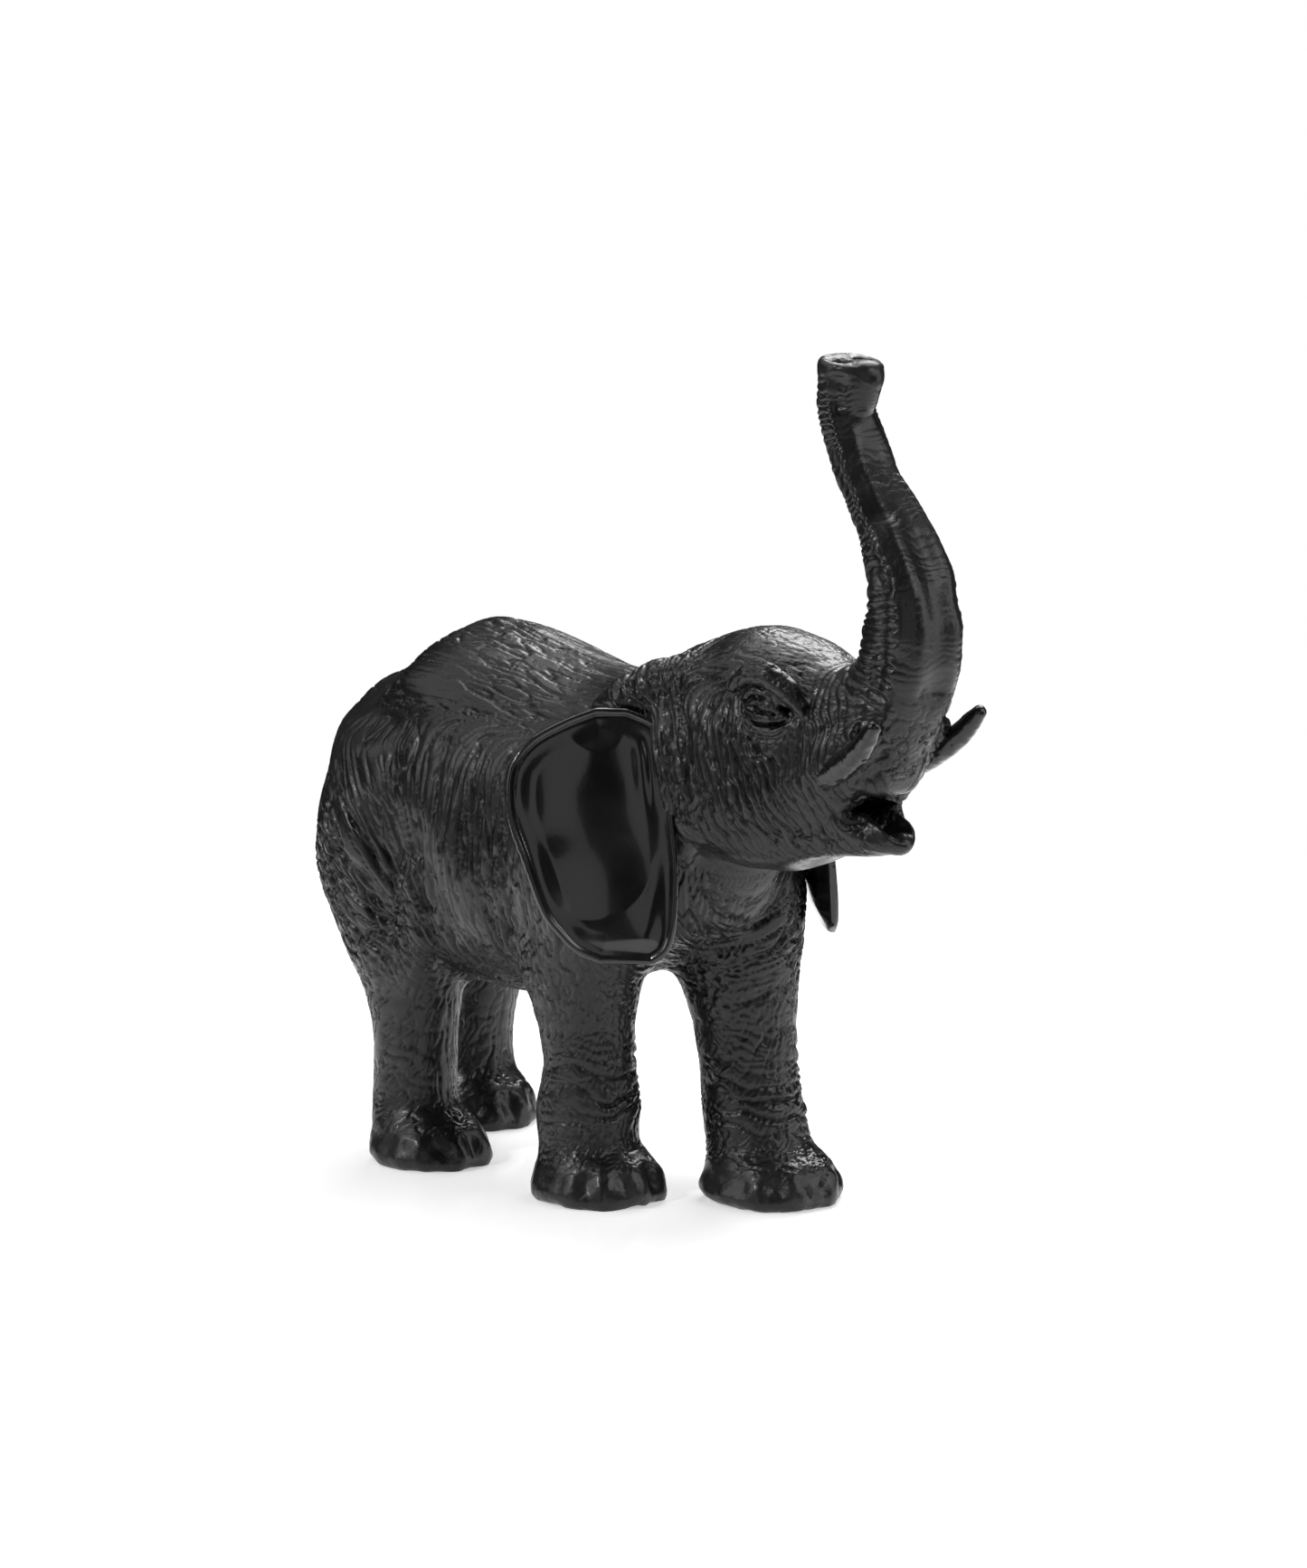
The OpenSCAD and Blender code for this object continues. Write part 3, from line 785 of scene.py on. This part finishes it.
def lacquer(deep, worn, rough, coat, coat_rough, bump):
    """Black lacquer over carved wood: duller in creases, darker in creases through painted shade in its
    colour and specular level, and greyer where rubbed.
    """
    def build(nt, bsdf):
        cloud = texture(nt, "ShaderNodeTexNoise", 55, 5)
        grain = texture(nt, "ShaderNodeTexNoise", 420, 6, (0.35, 1, 1))
        pores = texture(nt, "ShaderNodeTexVoronoi", 900)
        blend = nt.nodes.new("ShaderNodeMixRGB")
        blend.inputs[1].default_value = (*deep, 1)
        blend.inputs[2].default_value = (*worn, 1)
        wear_and_crease_shade = fit_range(nt, cloud.outputs[0], 0.35, 0.7, 0.0, 0.7)
        dull = fit_range(nt, cloud.outputs[0], 0.3, 0.75, rough - 0.06, rough + 0.1)
        # The crease attribute is low in creases: there it paints shade into the colour and the specular
        # level, and adds roughness.
        crease = nt.nodes.new("ShaderNodeAttribute")
        crease.attribute_name = "crease"
        opened = crease.outputs["Fac"]
        # Painted crease shade: the colour goes to the darkest black in creases, on top of the random rubbed
        # tone.
        wear_and_crease_shade = combine(nt, "MULTIPLY", wear_and_crease_shade, fit_range(nt, opened, 0.15, 0.8, 0.0, 1.0))
        dull = combine(nt, "ADD", dull, fit_range(nt, opened, 0.1, 0.7, 0.22, 0.0))
        nt.links.new(wear_and_crease_shade, blend.inputs[0])
        nt.links.new(blend.outputs[0], bsdf.inputs["Base Color"])
        nt.links.new(dull, bsdf.inputs["Roughness"])
        # Painted crease shade on the reflections: the specular level falls in creases.
        bsdf.inputs["Specular IOR Level"].default_value = OPEN_SPECULAR
        nt.links.new(fit_range(nt, opened, 0.15, 0.75, CREASE_SHADE_SPECULAR, OPEN_SPECULAR),
                     bsdf.inputs["Specular IOR Level"])
        bsdf.inputs["Coat Weight"].default_value = coat
        bsdf.inputs["Coat Roughness"].default_value = coat_rough
        height = combine(nt, "ADD", combine(nt, "MULTIPLY", grain.outputs[0], 0.7),
                         combine(nt, "MULTIPLY", pores.outputs["Distance"], 0.3))
        b = nt.nodes.new("ShaderNodeBump")
        b.inputs["Strength"].default_value = bump
        b.inputs["Distance"].default_value = BUMP_DEPTH
        nt.links.new(height, b.inputs["Height"])
        nt.links.new(b.outputs[0], bsdf.inputs["Normal"])
    return build


def birch(nt, bsdf):
    """Pale dowel wood with its grain along Z."""
    grain = texture(nt, "ShaderNodeTexNoise", 160, 6, (1, 1, 0.08))
    blend = nt.nodes.new("ShaderNodeMixRGB")
    blend.inputs[1].default_value = (0.46, 0.31, 0.17, 1)
    blend.inputs[2].default_value = (0.66, 0.5, 0.32, 1)
    nt.links.new(grain.outputs[0], blend.inputs[0])
    nt.links.new(blend.outputs[0], bsdf.inputs["Base Color"])
    nt.links.new(fit_range(nt, grain.outputs[0], 0.3, 0.7, 0.5, 0.65), bsdf.inputs["Roughness"])


def paper(nt, bsdf):
    """A white sweep that glows a little, so that it stays white under the figure."""
    speck = texture(nt, "ShaderNodeTexNoise", 30, 3)
    nt.links.new(fit_range(nt, speck.outputs[0], 0.3, 0.7, 0.12, 0.17), bsdf.inputs["Roughness"])
    bsdf.inputs["Base Color"].default_value = (0.86, 0.86, 0.86, 1)
    bsdf.inputs["Emission Color"].default_value = (1, 1, 1, 1)
    bsdf.inputs["Emission Strength"].default_value = 0.46


SKIN = material("black_skin", lacquer(
    SHADE_AND_TONE_BLACK, (0.010, 0.010, 0.0104), 0.33, 0.12, 0.16, 0.4))
POLISHED = material("black_polished", lacquer(
    SHADE_AND_TONE_BLACK, (0.009, 0.009, 0.0093), 0.25, 0.25, 0.1, 0.2))
GLOSS = material("black_gloss", lacquer(
    SHADE_AND_TONE_GLOSS, (0.008, 0.008, 0.0082), 0.2, 0.5, 0.09, 0.1))
BIRCH = material("birch_dowel", birch)
PAPER = material("pale_floor", paper)

# ---- Carving -------------------------------------------------------------------------------

def finer(lo, hi, part):
    """A finer block that starts from the whole form."""
    b = Block(lo, hi, VOXEL[part] * COARSER)
    resample(whole, b)
    return b


# Dowel bores, tusk bores, tail bore and ear slots are hidden inside and are filled here.
DOWELS = ["neck_dowels", "leg_dowels", "trunk_dowel"]
whole.add(Rod((-131, 0, 132, 3.4), (-122, 0, 125, 3.4)), 1)
for side in (1, -1):
    whole.add(Rod((82, -12 * side, 141, 3.4), (91, -15 * side, 143, 3.4)), 1)
    for step in (1, 4, 8):
        cx, cy = 44 + 0.72 * step, (-27 + 0.69 * step) * side
        whole.add(Rod((cx, cy, 123, 2.6), (cx, cy, 143, 2.6)), 1)
whole.f = np.minimum(whole.f, level(DOWELS, whole) - 0.4)

body = finer((-142, -56, 46), (58, 56, 182), "body")
sculpt_body(body)
sculpt_head(body)
skull = finer((6, -42, 88), (130, 42, 196), "skull")
sculpt_body(skull)
sculpt_head(skull)
sculpt_trunk(skull)
nose = finer((72, -22, 158), (138, 22, 277), "nose")
sculpt_head(nose)
sculpt_trunk(nose)


def carved(block, name, planes):
    """A piece of the skin, cut from its block along the seams."""
    p, q, at = wrinkled(block, wrinkle_skin)
    rough = make_object(name + "_uncut", p, q, SKIN, at)
    piece = split(rough, name + "_carved", planes, SKIN)
    bpy.data.objects.remove(rough, do_unlink=True)
    return piece


LEG_SEAM_UP, LEG_SEAM_DOWN = ((0, 0, LEG_Z), (0, 0, 1)), ((0, 0, LEG_Z), (0, 0, -1))
GROUND = ((0, 0, 0), (0, 0, -1))
made = {}
made["torso"] = carved(body, "torso", [(NECK_AT, NECK_N), LEG_SEAM_DOWN])
made["head"] = carved(skull, "head", [(NECK_AT, -NECK_N), (TRUNK_AT, TRUNK_N)])
made["trunk"] = carved(nose, "trunk", [(TRUNK_AT, -TRUNK_N)])
for name, ((cx, cy), r, toes) in FEET.items():
    foot = finer((cx - r - 9, cy - r - 9, -4), (cx + r + 9, cy + r + 9, 60), "leg")
    gx, gy, gz = foot.ax[0][:, None, None], foot.ax[1][None, :, None], foot.ax[2][None, None, :]
    foot.f = np.maximum(foot.f, np.sqrt((gx - cx) ** 2 + (gy - cy) ** 2) - r - 7)   # this leg only
    sculpt_foot(foot, name)
    foot.f = np.maximum(foot.f, 0 - gz)
    made[name] = carved(foot, name, [LEG_SEAM_UP, GROUND])


# ---- Ears, tusks, tail, eyes ----------------------------------------------------------------

# The right ear: height, middle of the chord in x and y, the chord's half length and its curl.
EAR = np.array([
    (82.6, 34.6, -42.9, 8, 0.6), (86, 33.2, -43.8, 14, 1.8), (91, 31.6, -44.4, 17.6, 3),
    (98, 29.3, -45.2, 20.6, 4.5), (112, 26, -45.5, 23.4, 6), (126, 21.5, -45.5, 25.2, 7),
    (140, 19, -44, 24.7, 6), (149, 19, -41, 21, 4), (155, 20.5, -37.5, 14, 2),
    (158.6, 20.5, -37, 5, 0.5)], float)
EAR_ROOT = np.array([44.0, -27, 133])
CHORD = np.array([-math.sqrt(0.5), -math.sqrt(0.5)])
OUTWARD = np.array([math.sqrt(0.5), -math.sqrt(0.5)])


def through(points, steps):
    """A smooth curve through points, with so many steps between each two."""
    q = np.vstack([2 * points[0] - points[1], points, 2 * points[-1] - points[-2]])
    w = cubic(np.arange(steps) / steps)
    rows = [sum(w[j][:, None] * q[i + j] for j in range(4)) for i in range(len(points) - 1)]
    return np.vstack(rows + [points[-1:]])


class EarShape:
    """Where a point lies in the right ear's own terms."""
    STEP = 0.5

    def __init__(self):
        self.line = through(EAR, 8)
        mid = self.line[:, 1:3] @ CHORD
        rear = np.stack([mid + self.line[:, 3], self.line[:, 0]], 1)
        front = np.stack([mid - self.line[:, 3], self.line[:, 0]], 1)
        self.rim = np.vstack([rear, front[::-1]])
        self.u = np.arange(-14, 50, self.STEP)
        self.v = np.arange(78, 164, self.STEP)
        at = np.stack(np.meshgrid(self.u, self.v, indexing="ij"), -1)
        self.d = np.full(at.shape[:2], 1e9)
        inside = np.zeros(at.shape[:2], bool)
        for a, b in zip(self.rim, np.roll(self.rim, -1, 0)):
            ab = b - a
            t = np.clip(((at - a) @ ab) / max(ab @ ab, 1e-9), 0, 1)
            self.d = np.minimum(self.d, np.linalg.norm(at - a - t[..., None] * ab, axis=-1))
            if abs(ab[1]) > 1e-9:
                rises = (a[1] > at[..., 1]) != (b[1] > at[..., 1])
                inside ^= rises & (at[..., 0] < a[0] + (at[..., 1] - a[1]) * ab[0] / ab[1])
        self.d = np.where(inside, -self.d, self.d)

    def edge(self, u, z):
        """Distance from the rim, negative inside the outline."""
        i = np.clip((u - self.u[0]) / self.STEP, 0, len(self.u) - 1.001)
        j = np.clip((z - self.v[0]) / self.STEP, 0, len(self.v) - 1.001)
        a, b = i.astype(int), j.astype(int)
        s, t = i - a, j - b
        return ((self.d[a, b] * (1 - s) + self.d[a + 1, b] * s) * (1 - t)
                + (self.d[a, b + 1] * (1 - s) + self.d[a + 1, b + 1] * s) * t)

    def place(self, x, y, z):
        """Chord position, distance from the rim, and height above the dish's middle sheet."""
        mid, half, curl = (np.interp(z, self.line[:, 0], v) for v in (
            self.line[:, 1:3] @ CHORD, self.line[:, 3], self.line[:, 4]))
        plane = np.interp(z, self.line[:, 0], self.line[:, 1:3] @ OUTWARD)
        u = x * CHORD[0] + y * CHORD[1]
        across = np.clip((u - mid) / np.maximum(half, 3), -1.15, 1.15)
        w = x * OUTWARD[0] + y * OUTWARD[1] - plane - curl * (across ** 2 - 0.5)
        return u, self.edge(u, z), w


EAR_FORM = EarShape()


def turned(x, y, degrees):
    """Turns about the ear's root."""
    c, s = math.cos(math.radians(degrees)), math.sin(math.radians(degrees))
    dx, dy = x - EAR_ROOT[0], y - EAR_ROOT[1]
    return EAR_ROOT[0] + c * dx - s * dy, EAR_ROOT[1] + s * dx + c * dy


def ear_block(fold):
    """The right ear, turned back by fold: thin at the rim and thicker within."""
    b = Block((-8, -70, 78), (64, -14, 164), VOXEL["ear"] * COARSER)
    gx, gy, gz = np.meshgrid(*b.ax, indexing="ij")
    gx, gy = turned(gx, gy, fold)
    u, d, w = EAR_FORM.place(gx, gy, gz)
    thick = 1.25 + 1.0 * ramp(-d, 1, 9)
    b.f = (-smin(-d, thick - np.abs(w), 1.6)).astype(np.float32)
    return b


def wrinkle_ear(p, n, fold):
    x, y = turned(p[:, 0], p[:, 1], fold)
    u, d, w = EAR_FORM.place(x, y, p[:, 2])
    outer = ramp(w, 0.1, 0.8)
    upper = ramp(p[:, 2], 124, 144) * ramp(u, 10, -2)
    lip = groove(-d - 2.4, 0.5) * np.maximum(ramp(p[:, 2], 118, 142), 0.2)
    ridge = groove(-d - 9.5, 2.4) * upper
    gap = groove(-d - 6.2, 1.2) * upper
    veins = np.abs(noise(p, 22, 71)) * 0.7
    h = outer * (0.55 * groove(-d - 1.2, 1.3) - 0.75 * lip + 0.8 * ridge - 0.6 * gap)
    h += veins * ramp(-d, 3, 9) * (0.5 + 0.5 * outer)
    return h, 1 - outer * np.maximum(0.6 * lip, 0.4 * gap)


def plain(waves, seed):
    """A smooth skin with faint waves of the given widths and heights."""
    def wrinkle(p, n):
        h = sum(height * noise(p, cell, seed + i) for i, (cell, height) in enumerate(waves))
        return h, np.ones(len(p))
    return wrinkle


def wrinkle_tail(p, n):
    hair = folds(p, along(p, 0, 0, 1), 1.3, 9, 91)
    cross = folds(p, unit(np.cross(n, along(p, 0.1, 0, 1))), 2, 5, 92)
    return 0.5 * (hair - 0.7) * ramp(p[:, 2], 92, 80) + 0.25 * (cross - 0.7), np.ones(len(p))


# The right tusk from root to tip, and the right eye's bead
TUSK = ((86, -14, 143, 4.4), (93.6, -16.4, 145.2, 4.8), (99, -17.4, 147.2, 4.7),
        (104, -18.2, 149.6, 4.4), (109, -19.1, 152.6, 4), (113.6, -19.9, 156, 3.6),
        (117.6, -20.7, 160, 3.1), (120.6, -21.3, 163.4, 2.3))
BEAD_AT = EYE + [-2.2, -0.8, 1.8]
BEAD = Ball(BEAD_AT, (4.6, 3.5, 3.4), -18, 10)

for side in ("right", "left"):
    name = side + "_ear"
    fold = LEFT_EAR_FOLD if side == "left" else 0
    p, q, at = wrinkled(ear_block(fold), lambda p, n: wrinkle_ear(p, n, fold), 4)
    if side == "left":
        p, q = p * [1, -1, 1], q[:, ::-1]
    made[name] = make_object(name + "_carved", p, q, GLOSS, at)

    name = side + "_tusk"
    s = 1 if side == "right" else -1
    b = Block((78, -30, 130), (128, 30, 174), VOXEL["tusk"] * COARSER)
    b.add(Rod(*(np.array(TUSK) * [1, s, 1, 1])), 1.2)
    p, q, at = wrinkled(b, plain(((4, 0.05), (1.6, 0.04)), 81), 2)
    made[name] = make_object(name + "_carved", p, q, POLISHED, at)

    name = side + "_eye"
    b = Block(BEAD_AT - 8, BEAD_AT + 8, VOXEL["eye"] * COARSER)
    b.add(BEAD, 0)
    p, q, at = wrinkled(b, plain(((1.5, 0.02),), 83), 2)
    made[name] = make_object(name + "_carved", p * [1, s, 1], q if s == 1 else q[:, ::-1], GLOSS, at)

lo, hi = corner("tail")
b = Block(lo - SHIFT - 3, hi - SHIFT + 3, VOXEL["tail"] * COARSER)
b.f = blur(level(["tail"], b, 8), 0.6, b.h)
p, q, at = wrinkled(b, wrinkle_tail, 2)
made["tail"] = make_object("tail_carved", p, q, SKIN, at)

for name, ob in made.items():
    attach(ob, "root")
    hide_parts(name)
for name in DOWELS:
    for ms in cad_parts[name].material_slots:
        ms.material = BIRCH

# ---- Stage ---------------------------------------------------------------------------------

FLOOR_R = 0.62
FLOOR_GAP = 0.0001           # below the soles
disc = bmesh.new()
bmesh.ops.create_circle(disc, cap_ends=True, segments=96, radius=FLOOR_R)
me = bpy.data.meshes.new("floor")
disc.to_mesh(me)
disc.free()
me.materials.append(PAPER)
floor = bpy.data.objects.new("floor", me)
floor.location = (0, 0, -FLOOR_GAP)
bpy.context.scene.collection.objects.link(floor)

# The camera stands DISTANCE away, round to the right of straight ahead and a little above.
AZ, EL = math.radians(49), math.radians(10)
DISTANCE, LENS, SENSOR = 2.6, 194.3, 36
OFF_RIGHT, OFF_UP = -0.00167, -0.00375
TARGET = Vector((0.006, 0.0, 0.132))
BACK = Vector((math.sin(AZ) * math.cos(EL), -math.cos(AZ) * math.cos(EL), math.sin(EL)))
RIGHT = Vector((math.cos(AZ), math.sin(AZ), 0))
UP = BACK.cross(RIGHT)
camera = bpy.data.objects.new("camera", bpy.data.cameras.new("camera"))
camera.location = TARGET + DISTANCE * BACK + OFF_RIGHT * RIGHT + OFF_UP * UP
camera.rotation_euler = BACK.to_track_quat("Z", "Y").to_euler()
camera.data.sensor_width = SENSOR
camera.data.lens = LENS
bpy.context.scene.collection.objects.link(camera)
bpy.context.scene.camera = camera


LAMP_AIM = Vector((0, 0, 0.12))


def lamp(name, right, up, back, size, watts):
    """A soft box placed right of, above and in front of the figure as the camera sees it."""
    data = bpy.data.lights.new(name, "AREA")
    data.shape = "RECTANGLE"
    data.size, data.size_y = size
    data.energy = watts
    ob = bpy.data.objects.new(name, data)
    flat = Vector((BACK.x, BACK.y, 0)).normalized()
    ob.location = RIGHT * right + Vector((0, 0, up)) + flat * back
    ob.rotation_euler = (ob.location - LAMP_AIM).to_track_quat("Z", "Y").to_euler()
    bpy.context.scene.collection.objects.link(ob)


lamp("overhead", 0.0, 2.1, -0.6, (2.4, 1.4), 33)
lamp("back_top", 0.5, 1.5, -1.4, (1.2, 0.8), 30)
lamp("left_front", -1.6, 0.9, 0.5, (0.8, 1.3), 9)
lamp("left_spot", -1.1, 1.3, 0.9, (0.16, 0.16), 10)
lamp("front_a", -2.0, 0.75, 2.5, (1.2, 1.8), 4.5)
lamp("front_b", 0.55, 0.6, 3.1, (1.5, 2.2), 7)
lamp("back_left", -1.6, 1.3, -0.7, (1.0, 1.0), 3.5)
lamp("right_box", 1.7, 0.45, 0.1, (1.0, 1.5), 9)
lamp("high_right", 1.5, 1.5, 1.0, (1.2, 0.9), 13)

# A white backdrop to the camera, almost black to the figure
DIM, WHITE = 0.03, 1.0
world = bpy.data.worlds.new("studio")
world.use_nodes = True
sky = world.node_tree
path = sky.nodes.new("ShaderNodeLightPath")
level_of = sky.nodes.new("ShaderNodeMapRange")
level_of.inputs["To Min"].default_value = DIM
level_of.inputs["To Max"].default_value = WHITE
sky.links.new(path.outputs["Is Camera Ray"], level_of.inputs["Value"])
sky.links.new(level_of.outputs["Result"], sky.nodes["Background"].inputs[1])
sky.nodes["Background"].inputs[0].default_value = (1, 1, 1, 1)
bpy.context.scene.world = world
bpy.context.scene.view_settings.view_transform = "Standard"
